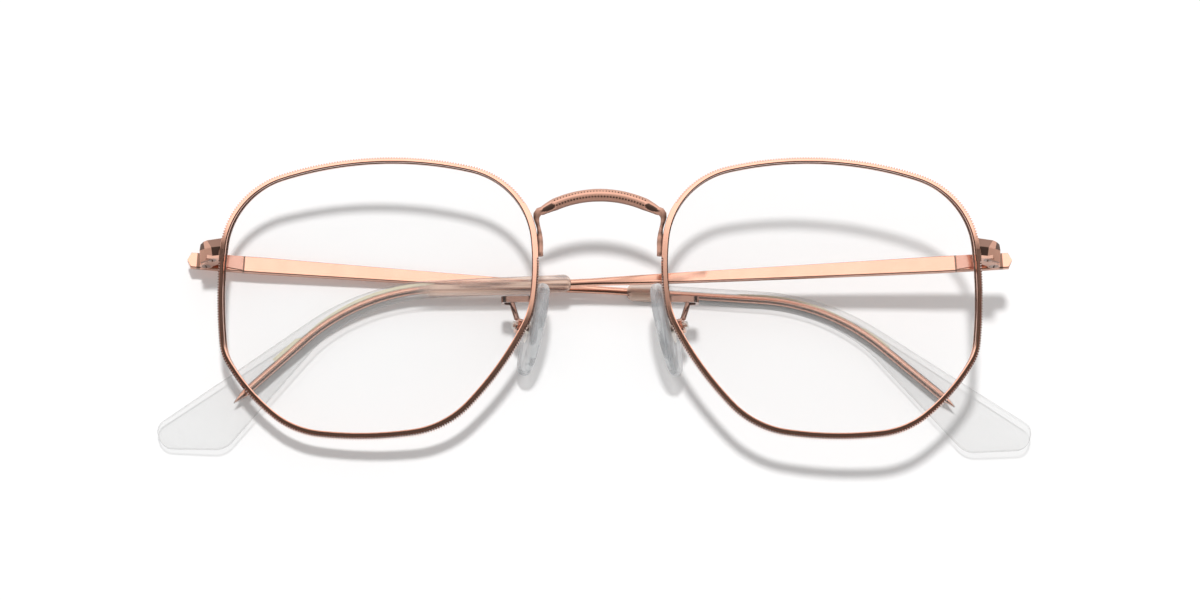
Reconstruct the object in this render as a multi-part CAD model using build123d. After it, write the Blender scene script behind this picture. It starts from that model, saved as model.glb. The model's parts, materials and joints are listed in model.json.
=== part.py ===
from build123d import *
from math import atan, cos, degrees, radians, sin
import os

# Hexagonal metal eyeglasses, folded, lying on a table with the lenses up.
# Everything is drawn for the wearer's right side and mirrored for the left.
# Front frame: X across, Y up to the brow, Z out of the lens fronts. The last
# step lays the folded glasses on the table. Lengths are in millimetres.

# Lens and rim
lens_width = 51.0
lens_height = 46.0
bridge_width = 21.0
lens_thickness = 1.6
lens_front_radius = 520.0
lens_bevel_depth = 0.35
rim_depth = 2.0
rim_wall_outside = 0.32
rim_lip_inside = 0.42
groove_clearance = 0.03
rim_edge_break = 0.12
bevel_land = 0.04
rim_cut_width = 0.16

# Corners of the hexagon, nose side first and then round by the brow. They are
# shares of the lens's half width and half height.
hexagon_corner_shares = [
    (0.913, 0.822), (-0.936, 0.733), (-0.975, -0.401),
    (-0.507, -0.961), (0.424, -0.931), (0.968, -0.121),
]
# How far each side bows out and how round each corner is, by lens height
side_bow_shares = [0.110, 0.024, 0.026, 0.026, 0.027, 0.031]
corner_radius_shares = [0.291, 0.299, 0.176, 0.299, 0.332, 0.265]

# Bridge, whose ends and legs keep their share of the lens's height
bridge_tube_diameter = 2.1
bridge_neck_diameter = 1.4
bridge_neck_length = 1.9
bridge_arch_rise = 2.6
bridge_end_height_share = 0.3174
bridge_end_inset = 1.1
bridge_bend_radius = 1.3
bridge_leg_thickness = 0.95
bridge_leg_depth = 1.5
bridge_leg_top_share = 0.2957
bridge_leg_bottom_share = 0.15
bridge_depth = 0.85

# Hinge frame
temple_tilt = 9.0
endpiece_height_share = 0.1761

# End piece
endpiece_tall = 2.9
endpiece_past_pivot = 1.4
endpiece_thickness = 1.0
endpiece_corner_radius = 1.1
endpiece_bevel_angle = 18.0

# Closing block and its screw
block_short_of_pivot = 0.3
block_inside_lens_edge = 0.5
block_depth_end = 3.0
block_split = 0.12
block_corner_radius = 0.35
closing_screw_short_of_pivot = 1.25
closing_screw_depth = 2.0
closing_screw_diameter = 0.9
closing_head_diameter = 1.4
closing_head_height = 0.5
closing_screw_end = 1.0
solder_gap = 0.04

# Hinge, with the pivot past the lens's edge and behind the end piece's front
pivot_past_lens_edge = 3.1
pivot_depth = 5.0
knuckle_radius = 1.05
hinge_tall = 2.8
middle_knuckle_tall = 1.0
knuckle_gap = 0.05
hinge_screw_diameter = 1.0
hinge_screw_clearance = 0.04
hinge_head_diameter = 1.5
hinge_head_height = 0.35
screw_slot_width = 0.22
screw_slot_depth = 0.2
screw_hole_clearance = 0.02
hinge_body_short_of_pivot = 2.4
hinge_body_end = 3.7

# Temple bar
bar_thickness = 1.1
bar_gap_to_knuckle = 0.15
bar_drop_angle = 2.6
bar_butt_reach = 2.5
bar_point_reach = 3.1
bar_butt_tall = 2.6
bar_tall = 2.75
bar_tall_reach = 9.0
bar_slim_tall = 1.8
bar_slim_reach = 47.5
bar_neck_tall = 1.5
bar_neck_length = 13.5
bar_to_rod_length = 5.0
rod_width = 1.1
rod_thickness = 1.0
bar_bevel = 0.38
bar_bevel_tall = 0.8
hinge_web_end = 2.0
hinge_leaf_start = 1.4
hinge_leaf_end = 6.0
hinge_leaf_thickness = 0.4
hinge_leaf_top = 1.15
hinge_leaf_bottom = 1.2
hinge_leaf_slant = 0.5
butt_clearance = 0.06

# The whole temple curves gently inward along one arc
temple_bow_radius = 2400.0

# Temple tip, the clear sleeve
bare_rod_length = 3.5
sleeve_straight_length = 22.5
sleeve_thickness = 2.7
sleeve_bore_clearance = 0.04
sleeve_round = 0.95
sleeve_end_round = 1.25
ear_bend_radius = 32.7
ear_bend_angles = {"left": 41.0, "right": 38.0}
rod_tail_length = 13.0
rod_point_length = 2.6
# The paddle's corners, along and across the straight tail
paddle_upper_start_along = -2.5
paddle_upper_start_across = 1.8
paddle_upper_end_along = 27.6
paddle_upper_end_across = 5.6
paddle_toe_along = 29.2
paddle_toe_across = 2.2
paddle_heel_along = 21.9
paddle_heel_across = -4.9
paddle_lower_start_along = -1.0
paddle_lower_start_across = -1.8
paddle_neck_round = 20.0
paddle_upper_round = 2.0
paddle_toe_round = 2.4
paddle_heel_round = 3.6

# Nose pad
pad_length = 15.5
pad_width = 8.0
pad_thickness = 2.0
pad_edge_round = 0.9
pad_past_nose_edge = 0.4
pad_height_share = -0.0978
pad_depth = 5.0
pad_frontal_angle = 13.5
pad_splay_angle = 13.0
pad_lean_angle = 12.0
boss_plate_length = 5.0
boss_plate_width = 2.8
boss_plate_thickness = 0.5
boss_diameter = 1.7
boss_length = 1.5
box_clearance = 0.05
box_wall = 0.35
box_floor = 0.45
box_length = 1.15
pad_screw_diameter = 0.8
pad_screw_clearance = 0.04
pad_head_diameter = 1.25
pad_head_height = 0.55
pad_screw_bite = 1.1

# Pad arm
arm_tall = 1.0
arm_thickness = 0.5
arm_height_share = 0.0022
arm_foot_past_nose_edge = 0.5
arm_foot_depth = 1.4
arm_turn_depth = 2.6
arm_loop_reach = 4.9
arm_back_depth = 5.4
arm_loop_return = 1.4
arm_bend_radius = 0.7
arm_stem_diameter = 0.9

# Folded temples: how far behind its pivot the inner one passes the far lens's
# edge, and how far behind that one the outer one crosses the nose
inner_fold_depth = 1.31
outer_fold_step = 4.08

# Lean of the folded glasses when they rest on both temple tips
rest_tilt = 8.61
rest_roll = 3.78

# Shared working values
cut_overrun = 1.0
arc_shares = (0, 0.5, 1)

sides = ["left", "right"]
nose_edge = bridge_width / 2
lens_offset = nose_edge + lens_width / 2
lens_edge = nose_edge + lens_width

bridge_end_offset = nose_edge - bridge_end_inset
bridge_end_height = bridge_end_height_share * lens_height
bridge_leg_top = bridge_leg_top_share * lens_height
bridge_leg_bottom = bridge_leg_bottom_share * lens_height

endpiece_height = endpiece_height_share * lens_height
pivot_reach = lens_edge + pivot_past_lens_edge
endpiece_reach = pivot_reach + endpiece_past_pivot
block_reach = pivot_reach - block_short_of_pivot
block_inner_reach = lens_edge - block_inside_lens_edge
closing_screw_reach = pivot_reach - closing_screw_short_of_pivot
hinge_body_inner = pivot_reach - hinge_body_short_of_pivot

pad_reach = nose_edge + pad_past_nose_edge
pad_height = pad_height_share * lens_height
arm_height = arm_height_share * lens_height
arm_foot_reach = nose_edge + arm_foot_past_nose_edge
arm_out_reach = arm_foot_reach + arm_loop_reach
arm_end_reach = arm_out_reach - arm_loop_return

bar_neck_reach = bar_slim_reach + bar_neck_length
rod_start = bar_neck_reach + bar_to_rod_length
sleeve_start = rod_start + bare_rod_length
ear_bend_start = sleeve_start + sleeve_straight_length

fold_reach = pivot_reach + lens_edge
inner_fold_slope = inner_fold_depth / fold_reach + fold_reach / (2 * temple_bow_radius)
outer_fold_slope = inner_fold_slope + outer_fold_step / pivot_reach
fold_angles = {"left": degrees(atan(inner_fold_slope)), "right": degrees(atan(outer_fold_slope))}


def bowed_hexagon():
    """Lens outline at its place, drawn from corners, bows and roundings."""
    corners = [Vector(x * lens_width / 2, y * lens_height / 2) for x, y in hexagon_corner_shares]
    edges = []
    for index, corner in enumerate(corners):
        following = corners[(index + 1) % len(corners)]
        run = following - corner
        outward = Vector(run.Y, -run.X).normalized()
        crown = (corner + following) / 2 + outward * side_bow_shares[index] * lens_height
        edges.append(ThreePointArc(corner, crown, following))
    outline = Face(Wire(edges))
    for corner, share in zip(corners, corner_radius_shares):
        sharp = min(outline.vertices(), key=lambda v: (v.center() - corner).length)
        outline = outline.fillet_2d(share * lens_height, [sharp])
    return Pos(-lens_offset, 0, 0) * outline


lens_outline = bowed_hexagon()
groove_depth = rim_depth / 2
lens_dome_rise = (lens_height / 2) ** 2 / (2 * lens_front_radius)


def outline_grown(amount):
    """Lens outline moved outward arc by arc, so that every edge stays an arc."""
    arcs = []
    for edge in lens_outline.outer_wire().edges():
        places = []
        for share in arc_shares:
            along = edge % share
            outward = Vector(along.Y, -along.X)
            if outward.dot(edge @ share - lens_outline.center()) < 0:
                outward = -outward
            places.append(edge @ share + outward * amount)
        arcs.append(ThreePointArc(*places))
    return make_face(arcs)


def layer(face, front, back):
    """Straight prism of a face between two depths behind the lens plane."""
    return Pos(0, 0, -back) * extrude(face, back - front)


def v_ring(crest_growth, depth):
    """Double bevel at the groove's depth whose crest is the grown outline."""
    plate = extrude(outline_grown(crest_growth), bevel_land / 2 + depth, both=True)
    plate = chamfer(plate.edges().filter_by(Plane.XY), depth)
    return Pos(0, 0, -groove_depth) * plate


# Hinge frame: X outboard, Y forward, Z up along the hinge screw
hinge_up = Vector(0, cos(radians(temple_tilt)), -sin(radians(temple_tilt)))
hinge_plane = Plane(origin=(0, endpiece_height, 0), x_dir=(-1, 0, 0), z_dir=hinge_up)
rim_envelope = layer(outline_grown(rim_wall_outside), 0, rim_depth)


def from_hinge(shape):
    return hinge_plane.location * shape


def post(reach, depth, bottom, top, diameter):
    """Round bar along the hinge frame's height."""
    return Pos(reach, -depth, (bottom + top) / 2) * Cylinder(diameter / 2, top - bottom)


def screw_along_hinge(reach, depth, end, diameter, head_diameter, head_height):
    """Slotted screw with its head at the lower face."""
    foot = -hinge_tall / 2
    shank = post(reach, depth, foot + head_height / 2, end, diameter)
    head = post(reach, depth, foot, foot + head_height, head_diameter)
    slot = Box(screw_slot_width, head_diameter + cut_overrun, 2 * screw_slot_depth)
    return shank + head - Pos(reach, -depth, foot) * slot


def screw_hole(reach, depth, end, diameter, head_diameter, head_height):
    foot = -hinge_tall / 2
    hole = post(reach, depth, foot - cut_overrun, end, diameter + 2 * screw_hole_clearance)
    sink_top = foot + head_height + screw_hole_clearance
    sink = post(reach, depth, foot - cut_overrun, sink_top, head_diameter + 2 * screw_hole_clearance)
    return hole + sink


def make_rim():
    ring = layer(outline_grown(rim_wall_outside), 0, rim_depth)
    ring = chamfer(ring.edges().filter_by(Plane.XY), rim_edge_break)
    opening = layer(outline_grown(-rim_lip_inside), -cut_overrun, rim_depth + cut_overrun)
    ring = ring - opening - v_ring(groove_clearance, rim_lip_inside + groove_clearance)
    slit = Box(lens_width / 2, rim_depth + 2 * cut_overrun, rim_cut_width)
    return ring - from_hinge(Pos(endpiece_reach, -groove_depth, 0) * slit)


def make_lens():
    core = layer(outline_grown(-rim_lip_inside - groove_clearance), -cut_overrun, rim_depth + cut_overrun)
    bevel = v_ring(-groove_clearance, lens_bevel_depth)
    crown = lens_thickness / 2 - groove_depth + lens_dome_rise
    centre = Pos(-lens_offset, 0, crown - lens_front_radius)
    shell = centre * (Sphere(lens_front_radius) - Sphere(lens_front_radius - lens_thickness))
    return (core + bevel) & shell


def disc_across(line, share, diameter):
    return Plane(line @ share, z_dir=line % share) * Circle(diameter / 2)


def make_bridge():
    left_end = (-bridge_end_offset, bridge_end_height)
    right_end = (bridge_end_offset, bridge_end_height)
    arch = ThreePointArc(left_end, (0, bridge_end_height + bridge_arch_rise), right_end)
    neck_share = bridge_neck_length / arch.length
    middle = arch.trim(neck_share, 1 - neck_share)
    tube = sweep(disc_across(middle, 0, bridge_tube_diameter), middle)
    thin = disc_across(arch, 0, bridge_neck_diameter)
    thick = disc_across(arch, neck_share, bridge_tube_diameter)
    side = loft([thin, thick])
    outward = -(arch % 0)
    turn = 90 - degrees(atan(outward.Y / outward.X))
    bend = JernArc(arch @ 0, outward, bridge_bend_radius, turn)
    side += sweep(disc_across(bend, 0, bridge_neck_diameter), bend)
    side += Pos(bend @ 1) * Sphere(bridge_neck_diameter / 2)
    ring = outline_grown(rim_wall_outside + bridge_leg_thickness) - outline_grown(rim_wall_outside)
    leg_tall = bridge_leg_top - bridge_leg_bottom
    window = Pos(-lens_offset / 2, bridge_leg_bottom + leg_tall / 2) * Rectangle(lens_offset, leg_tall)
    side += layer(ring & window, -bridge_leg_depth / 2, bridge_leg_depth / 2)
    side = Pos(0, 0, -bridge_depth) * side - rim_envelope
    return Pos(0, 0, -bridge_depth) * tube + side + mirror(side, about=Plane.YZ)


def make_endpiece():
    """Bevelled strap: a block with its front drawn to a ridge, hollowed behind."""
    seat = pivot_depth - bar_butt_reach - butt_clearance
    outline = make_face(Polyline(
        (lens_offset, 0), (endpiece_reach, 0), (endpiece_reach, -seat), (lens_offset, -seat), close=True))
    corner = outline.vertices().sort_by(Axis.X)[-2:].sort_by(Axis.Y)[-1]
    outline = fillet(corner, endpiece_corner_radius)
    half = extrude(outline, endpiece_tall / 2, taper=endpiece_bevel_angle)
    block = half + mirror(half, about=Plane.XY)
    hollow_reach = endpiece_reach - endpiece_thickness
    hollow = Pos(lens_offset, -endpiece_thickness) * Rectangle(
        hollow_reach - lens_offset, endpiece_reach, align=(Align.MIN, Align.MAX))
    block -= extrude(hollow, endpiece_tall, both=True)
    point = bar_point_reach + butt_clearance
    edge = bar_butt_reach + butt_clearance
    notch = make_face(Polyline(
        (-pivot_depth + edge, bar_butt_tall / 2), (-pivot_depth + point, 0),
        (-pivot_depth + edge, -bar_butt_tall / 2), close=True))
    block -= extrude(Plane.YZ * notch, 2 * endpiece_reach, both=True)
    return from_hinge(block) - rim_envelope


def closing_block(bottom, top, depth_end):
    reach = block_reach - block_inner_reach
    depth = depth_end - endpiece_thickness
    centre = (block_inner_reach + reach / 2, -endpiece_thickness - depth / 2)
    outline = Pos(*centre) * RectangleRounded(reach, depth, block_corner_radius)
    half = Pos(0, 0, bottom) * extrude(outline, top - bottom)
    return half - closing_hole()


def closing_hole():
    return screw_hole(closing_screw_reach, closing_screw_depth, closing_screw_end + solder_gap,
                      closing_screw_diameter, closing_head_diameter, closing_head_height)


def make_closing_block_upper():
    return from_hinge(closing_block(block_split / 2, hinge_tall / 2, block_depth_end)) - rim_envelope


def make_closing_block_lower():
    depth_end = block_depth_end - solder_gap
    return from_hinge(closing_block(-hinge_tall / 2, -block_split / 2, depth_end)) - rim_envelope


def make_closing_screw():
    return from_hinge(screw_along_hinge(
        closing_screw_reach, closing_screw_depth, closing_screw_end,
        closing_screw_diameter, closing_head_diameter, closing_head_height))


def make_front_hinge():
    """Two leaves round the pivot, joined by a body soldered behind the block."""
    nose = Pos(pivot_reach, -pivot_depth) * Circle(knuckle_radius)
    sole = make_face(Polyline(
        (hinge_body_inner, -block_depth_end), (block_reach, -block_depth_end),
        (pivot_reach + knuckle_radius, -pivot_depth), (pivot_reach - knuckle_radius, -pivot_depth),
        (hinge_body_inner, -hinge_body_end), close=True))
    body = extrude(sole + nose, hinge_tall / 2, both=True)
    slot_tall = middle_knuckle_tall + 2 * knuckle_gap
    slot_reach = 2 * lens_offset
    slot = Pos(0, -hinge_body_end - slot_reach / 2) * Rectangle(2 * slot_reach, slot_reach)
    body -= extrude(slot, slot_tall / 2, both=True)
    hole = screw_hole(pivot_reach, pivot_depth, hinge_tall, hinge_screw_diameter,
                      hinge_head_diameter, hinge_head_height)
    return from_hinge(body - hole)


def make_hinge_screw():
    return from_hinge(screw_along_hinge(
        pivot_reach, pivot_depth, hinge_tall / 2 - solder_gap, hinge_screw_diameter,
        hinge_head_diameter, hinge_head_height))


# Temple frame: X along the bar from the pivot, Y away from the head, Z up
bar_inner_face = knuckle_radius + bar_gap_to_knuckle
bar_middle = bar_inner_face + bar_thickness / 2
temple_length_drawn = sleeve_start + 2 * ear_bend_start
temple_tall_drawn = 2 * ear_bend_start


def bowed_slab(thickness):
    """Upright band that follows the temple's inward bow."""
    ring = Circle(temple_bow_radius + thickness / 2) - Circle(temple_bow_radius - thickness / 2)
    window = Pos(temple_length_drawn / 3, 0) * Rectangle(temple_length_drawn, temple_tall_drawn)
    band = (Pos(0, bar_middle - temple_bow_radius) * ring) & window
    return extrude(band, temple_tall_drawn / 2, both=True)


def side_view(face, thickness):
    """Cut a side view of the dropped bar out of the bowed band."""
    upright = Plane.XZ * (Rot(0, 0, -bar_drop_angle) * face)
    return extrude(upright, temple_tall_drawn, both=True) & bowed_slab(thickness)


def ear_path(ear_bend_angle):
    straight = Line((rod_start, 0), (ear_bend_start, 0))
    bend = JernArc((ear_bend_start, 0), (1, 0), ear_bend_radius, -ear_bend_angle)
    tail = Line(bend @ 1, (bend @ 1) + (bend % 1) * rod_tail_length)
    return Wire([straight, bend, tail])


def rod_face(ear_bend_angle, width):
    """Side view of the rod with its sharp point."""
    path = ear_path(ear_bend_angle)
    along = path % 1
    across = Vector(-along.Y, along.X) * (width / 2)
    end = path @ 1
    point = make_face(Polyline(end + across, end + along * rod_point_length, end - across, close=True))
    return trace(path, width) + point


def bar_face():
    upper = [(-bar_butt_reach, bar_butt_tall / 2), (bar_tall_reach, bar_tall / 2),
             (bar_slim_reach, bar_slim_tall / 2), (bar_neck_reach, bar_neck_tall / 2),
             (rod_start, rod_width / 2)]
    lower = [(along, -up) for along, up in reversed(upper)]
    return make_face(Polyline((-bar_point_reach, 0), *upper, *lower, close=True))


def make_temple_bar(side):
    bar = side_view(bar_face(), bar_thickness)
    outer = bar.faces().sort_by(Axis.Y)[-1]
    ridges = outer.edges().filter_by(lambda edge: abs((edge % 0.5).X) > 0.9)
    bar = chamfer(ridges, bar_bevel, bar_bevel_tall, reference=outer)
    rod = side_view(rod_face(ear_bend_angles[side], rod_width), rod_thickness)
    return bar + rod


def make_temple_tip(side):
    bend = JernArc((ear_bend_start, 0), (1, 0), ear_bend_radius, -ear_bend_angles[side])
    along = bend % 1
    across = Vector(-along.Y, along.X)

    def on_tail(distance, offset):
        return (bend @ 1) + along * distance + across * offset

    half = sleeve_thickness / 2
    upper_mouth = Vector(sleeve_start, half)
    lower_mouth = Vector(sleeve_start, -half)
    upper_bend_start = Vector(ear_bend_start, half)
    lower_bend_start = Vector(ear_bend_start, -half)
    upper_start = on_tail(paddle_upper_start_along, paddle_upper_start_across)
    upper_end = on_tail(paddle_upper_end_along, paddle_upper_end_across)
    toe = on_tail(paddle_toe_along, paddle_toe_across)
    heel = on_tail(paddle_heel_along, paddle_heel_across)
    lower_start = on_tail(paddle_lower_start_along, paddle_lower_start_across)
    outline = make_face([
        Line(lower_mouth, upper_mouth),
        Line(upper_mouth, upper_bend_start),
        TangentArc(upper_bend_start, upper_start, tangent=(1, 0)),
        Line(upper_start, upper_end),
        Line(upper_end, toe),
        Line(toe, heel),
        Line(heel, lower_start),
        TangentArc(lower_bend_start, lower_start, tangent=(1, 0)),
        Line(lower_bend_start, lower_mouth),
    ])
    rounds = [
        (upper_mouth, sleeve_end_round), (lower_mouth, sleeve_end_round),
        (upper_end, paddle_upper_round), (toe, paddle_toe_round), (heel, paddle_heel_round),
        (upper_start, paddle_neck_round), (lower_start, paddle_neck_round),
    ]
    for place, radius in rounds:
        corner = min(outline.vertices(), key=lambda v: (v.center() - place).length)
        outline = fillet(corner, radius)
    sleeve = side_view(outline, sleeve_thickness)
    broad = sleeve.faces().sort_by(SortBy.AREA)[-2:]
    sleeve = fillet(broad[0].edges() + broad[1].edges(), sleeve_round)
    bore_gap = 2 * sleeve_bore_clearance
    bore = side_view(rod_face(ear_bend_angles[side], rod_width + bore_gap), rod_thickness + bore_gap)
    return sleeve - bore


def make_temple_hinge():
    """Middle knuckle with its web and the leaf on the bar's inner face."""
    knuckle = Circle(knuckle_radius)
    web = Pos(hinge_web_end / 2, bar_inner_face / 2) * Rectangle(hinge_web_end, bar_inner_face)
    middle = extrude(knuckle + web, middle_knuckle_tall / 2, both=True)
    leaf_side = make_face(Polyline(
        (hinge_leaf_start, hinge_leaf_top), (hinge_leaf_end, hinge_leaf_top),
        (hinge_leaf_end, -hinge_leaf_bottom), (hinge_leaf_start, hinge_leaf_slant - hinge_leaf_bottom), close=True))
    upright_leaf = Plane.XZ * (Rot(0, 0, -bar_drop_angle) * leaf_side)
    leaf = Pos(0, bar_inner_face) * extrude(upright_leaf, hinge_leaf_thickness)
    bore = Cylinder(hinge_screw_diameter / 2 + hinge_screw_clearance, hinge_tall)
    return middle + leaf - bowed_slab(bar_thickness) - bore


# Pad frame: X outboard along the pad screw, Y down the pad, Z to the front
pad_frame = Pos(-pad_reach, pad_height, -pad_depth)
pad_frame *= Rot(pad_lean_angle, 0, 0) * Rot(0, 0, 180 - pad_frontal_angle) * Rot(0, -pad_splay_angle, 0)
pad_outer_face = pad_thickness / 2
boss_end = pad_outer_face + boss_length
box_floor_start = boss_end + box_clearance
box_end = box_floor_start + box_floor
box_diameter = boss_diameter + 2 * box_clearance + 2 * box_wall
pad_head_start = box_end + box_clearance
pad_head_end = pad_head_start + pad_head_height


def along_pad_screw(start, end, diameter):
    return Pos((start + end) / 2, 0, 0) * Rot(0, 90, 0) * Cylinder(diameter / 2, end - start)


def boss_plate():
    outline = Plane.YZ * SlotOverall(boss_plate_length, boss_plate_width)
    return Pos(pad_outer_face, 0, 0) * extrude(outline, -boss_plate_thickness)


def make_nose_pad():
    pad = extrude(Plane.YZ * Ellipse(pad_length / 2, pad_width / 2), pad_thickness / 2, both=True)
    pad = fillet(pad.edges().filter_by(GeomType.ELLIPSE), pad_edge_round)
    return pad_frame * (pad - boss_plate())


def make_pad_boss():
    stud = along_pad_screw(pad_outer_face, boss_end, boss_diameter)
    hole_start = boss_end - pad_screw_bite - solder_gap
    hole_diameter = pad_screw_diameter + 2 * screw_hole_clearance
    return pad_frame * (boss_plate() + stud - along_pad_screw(hole_start, box_end, hole_diameter))


def make_pad_screw():
    shank = along_pad_screw(boss_end - pad_screw_bite, pad_head_start, pad_screw_diameter)
    head = along_pad_screw(pad_head_start, pad_head_end, pad_head_diameter)
    slot = Box(2 * screw_slot_depth, pad_head_diameter + cut_overrun, screw_slot_width)
    return pad_frame * (shank + head - Pos(pad_head_end, 0, 0) * slot)


def make_pad_box():
    """Cup round the stud, with a hole in its floor for the screw."""
    cup = along_pad_screw(box_end - box_length, box_end, box_diameter)
    cup -= along_pad_screw(pad_outer_face, box_floor_start, boss_diameter + 2 * box_clearance)
    hole_diameter = pad_screw_diameter + 2 * pad_screw_clearance
    return pad_frame * (cup - along_pad_screw(boss_end, box_end + cut_overrun, hole_diameter))


def make_pad_arm():
    """Flat strap that loops behind the rim, ending in a round stem to the box."""
    path = FilletPolyline(
        (-arm_foot_reach, -arm_foot_depth), (-arm_foot_reach, -arm_turn_depth),
        (-arm_out_reach, -arm_turn_depth), (-arm_out_reach, -arm_back_depth),
        (-arm_end_reach, -arm_back_depth), radius=arm_bend_radius)
    strap = extrude(Plane.XZ * trace(path, arm_thickness), arm_tall / 2, both=True)
    strap = Pos(0, arm_height, 0) * strap
    stem_start = Vector(-arm_end_reach, arm_height, -arm_back_depth)
    box_centre = pad_frame * Pos(box_end - box_length / 2, 0, 0)
    stem = Line(stem_start, box_centre.position)
    strap += Pos(stem_start) * Sphere(arm_stem_diameter / 2)
    strap += sweep(disc_across(stem, 0, arm_stem_diameter), stem)
    room = pad_frame * along_pad_screw(box_end - box_length, pad_head_end + box_clearance, box_diameter)
    return strap - room - rim_envelope


def folded(shape, side):
    """Place a piece of the temple frame where the folded temple holds it."""
    return from_hinge(Pos(pivot_reach, -pivot_depth, 0) * Rot(0, 0, 180 + fold_angles[side]) * shape)


def on_side(shape, side):
    return mirror(shape, about=Plane.YZ) if side == "left" else shape


mirrored_makers = {
    "rim": make_rim, "lens": make_lens, "endpiece": make_endpiece,
    "closing_block_upper": make_closing_block_upper, "closing_block_lower": make_closing_block_lower,
    "closing_screw": make_closing_screw, "front_hinge": make_front_hinge, "hinge_screw": make_hinge_screw,
    "pad_arm": make_pad_arm, "pad_box": make_pad_box, "nose_pad": make_nose_pad,
    "pad_boss": make_pad_boss, "pad_screw": make_pad_screw,
}
pieces = {"bridge": make_bridge()}
for name, maker in mirrored_makers.items():
    piece = maker()
    for side in sides:
        pieces[name + "_" + side] = on_side(piece, side)
for side in sides:
    pieces["temple_hinge_" + side] = on_side(folded(make_temple_hinge(), side), side)
    pieces["temple_bar_" + side] = on_side(folded(make_temple_bar(side), side), side)
    pieces["temple_tip_" + side] = on_side(folded(make_temple_tip(side), side), side)

# Lay the folded glasses on the table, centred on the origin
lean = Rot(rest_tilt, 0, 0) * Rot(0, -rest_roll, 0)
leaning = Compound([lean * piece for piece in pieces.values()]).bounding_box()
resting = Pos(-leaning.center().X, -leaning.center().Y, -leaning.min.Z) * lean

os.makedirs("parts", exist_ok=True)
for name, piece in pieces.items():
    export_step(resting * piece, "parts/" + name + ".step")
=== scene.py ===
import json
import math

import bmesh
import bpy
from mathutils import Matrix, Vector


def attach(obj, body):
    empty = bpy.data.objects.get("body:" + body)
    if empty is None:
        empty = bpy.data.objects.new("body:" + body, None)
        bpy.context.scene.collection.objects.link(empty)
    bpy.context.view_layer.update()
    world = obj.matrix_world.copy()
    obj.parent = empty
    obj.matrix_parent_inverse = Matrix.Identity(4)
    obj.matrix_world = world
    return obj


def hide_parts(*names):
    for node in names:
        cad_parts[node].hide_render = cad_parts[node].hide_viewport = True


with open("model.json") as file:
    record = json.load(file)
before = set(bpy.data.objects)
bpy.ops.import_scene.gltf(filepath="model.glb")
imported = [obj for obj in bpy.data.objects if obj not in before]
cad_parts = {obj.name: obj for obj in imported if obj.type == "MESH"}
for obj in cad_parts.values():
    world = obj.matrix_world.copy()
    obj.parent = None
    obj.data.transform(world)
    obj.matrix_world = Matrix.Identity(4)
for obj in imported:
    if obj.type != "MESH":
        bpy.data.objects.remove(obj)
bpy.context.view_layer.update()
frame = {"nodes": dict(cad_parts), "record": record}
nodes = frame["nodes"]
print("frame loaded with", len(nodes), "solids")

# The folded glasses lean on the table. The front frame has X across, Y up to
# the brow and Z out of the lens fronts, and its lengths are in millimetres.
millimetre = 0.001
frontPlace = {
    "tilt": 8.61,
    "roll": 3.78,
    "origin": (-0.02837, -0.132515, 12.4727),
}
frontTurn = Matrix.Rotation(math.radians(frontPlace["tilt"]), 4, "X")
frontTurn = frontTurn @ Matrix.Rotation(-math.radians(frontPlace["roll"]), 4, "Y")
frontMatrix = Matrix.Translation(Vector(frontPlace["origin"]) * millimetre) @ frontTurn
frontInverse = frontMatrix.inverted()
sides = {"right": -1, "left": 1}


def linkObject(name, mesh):
    made = bpy.data.objects.new(name, mesh)
    bpy.context.scene.collection.objects.link(made)
    return made


def meshFrom(name, points, faces):
    mesh = bpy.data.meshes.new(name)
    mesh.from_pydata([tuple(point) for point in points], [], faces)
    shell = bmesh.new()
    shell.from_mesh(mesh)
    bmesh.ops.recalc_face_normals(shell, faces=shell.faces)
    shell.to_mesh(mesh)
    shell.free()
    return mesh


def frontMesh(name, points, faces):
    # points are in the front frame, in millimetres
    return meshFrom(name, [frontMatrix @ (point * millimetre) for point in points], faces)


def addPaintedShade(mesh, paintedShade, material, domain="POINT"):
    # The attribute paints shade and darker reflections into the colour: 0 leaves it, 1 mixes in the dark
    # colour.
    shade = mesh.attributes.new("paintedShade", "FLOAT", domain)
    for index, dark in enumerate(paintedShade):
        shade.data[index].value = dark
    mesh.materials.append(material)


def ringFaces(count, around):
    # Skin over rings of points that follow each other, closed at both ends
    faces = []
    for ring in range(count - 1):
        low, high = ring * around, (ring + 1) * around
        for step in range(around):
            following = (step + 1) % around
            faces.append((low + step, low + following, high + following, high + step))
    last = (count - 1) * around
    faces.append(tuple(range(around)))
    faces.append(tuple(last + step for step in range(around)))
    return faces


def dressNode(name, mesh, body, node):
    piece = linkObject(name, mesh)
    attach(piece, body)
    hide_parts(node)
    print(name, "has", len(mesh.polygons), "faces")
    return piece


# Materials


def startMaterial(name):
    material = bpy.data.materials.new(name)
    material.use_nodes = True
    tree = material.node_tree
    shader = tree.nodes["Principled BSDF"]
    place = tree.nodes.new("ShaderNodeTexCoord")
    return material, tree, shader, place.outputs["Object"]


def addNoise(tree, place, scale, detail=3.0, roughness=0.55):
    noise = tree.nodes.new("ShaderNodeTexNoise")
    noise.inputs["Scale"].default_value = scale
    noise.inputs["Detail"].default_value = detail
    noise.inputs["Roughness"].default_value = roughness
    tree.links.new(place, noise.inputs["Vector"])
    return noise.outputs["Fac"]


def addRamp(tree, factor, stops):
    ramp = tree.nodes.new("ShaderNodeValToRGB")
    elements = ramp.color_ramp.elements
    while len(elements) < len(stops):
        elements.new(0.5)
    for element, (position, colour) in zip(elements, stops):
        element.position = position
        element.color = (*colour, 1.0)
    tree.links.new(factor, ramp.inputs["Fac"])
    return ramp.outputs["Color"]


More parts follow.
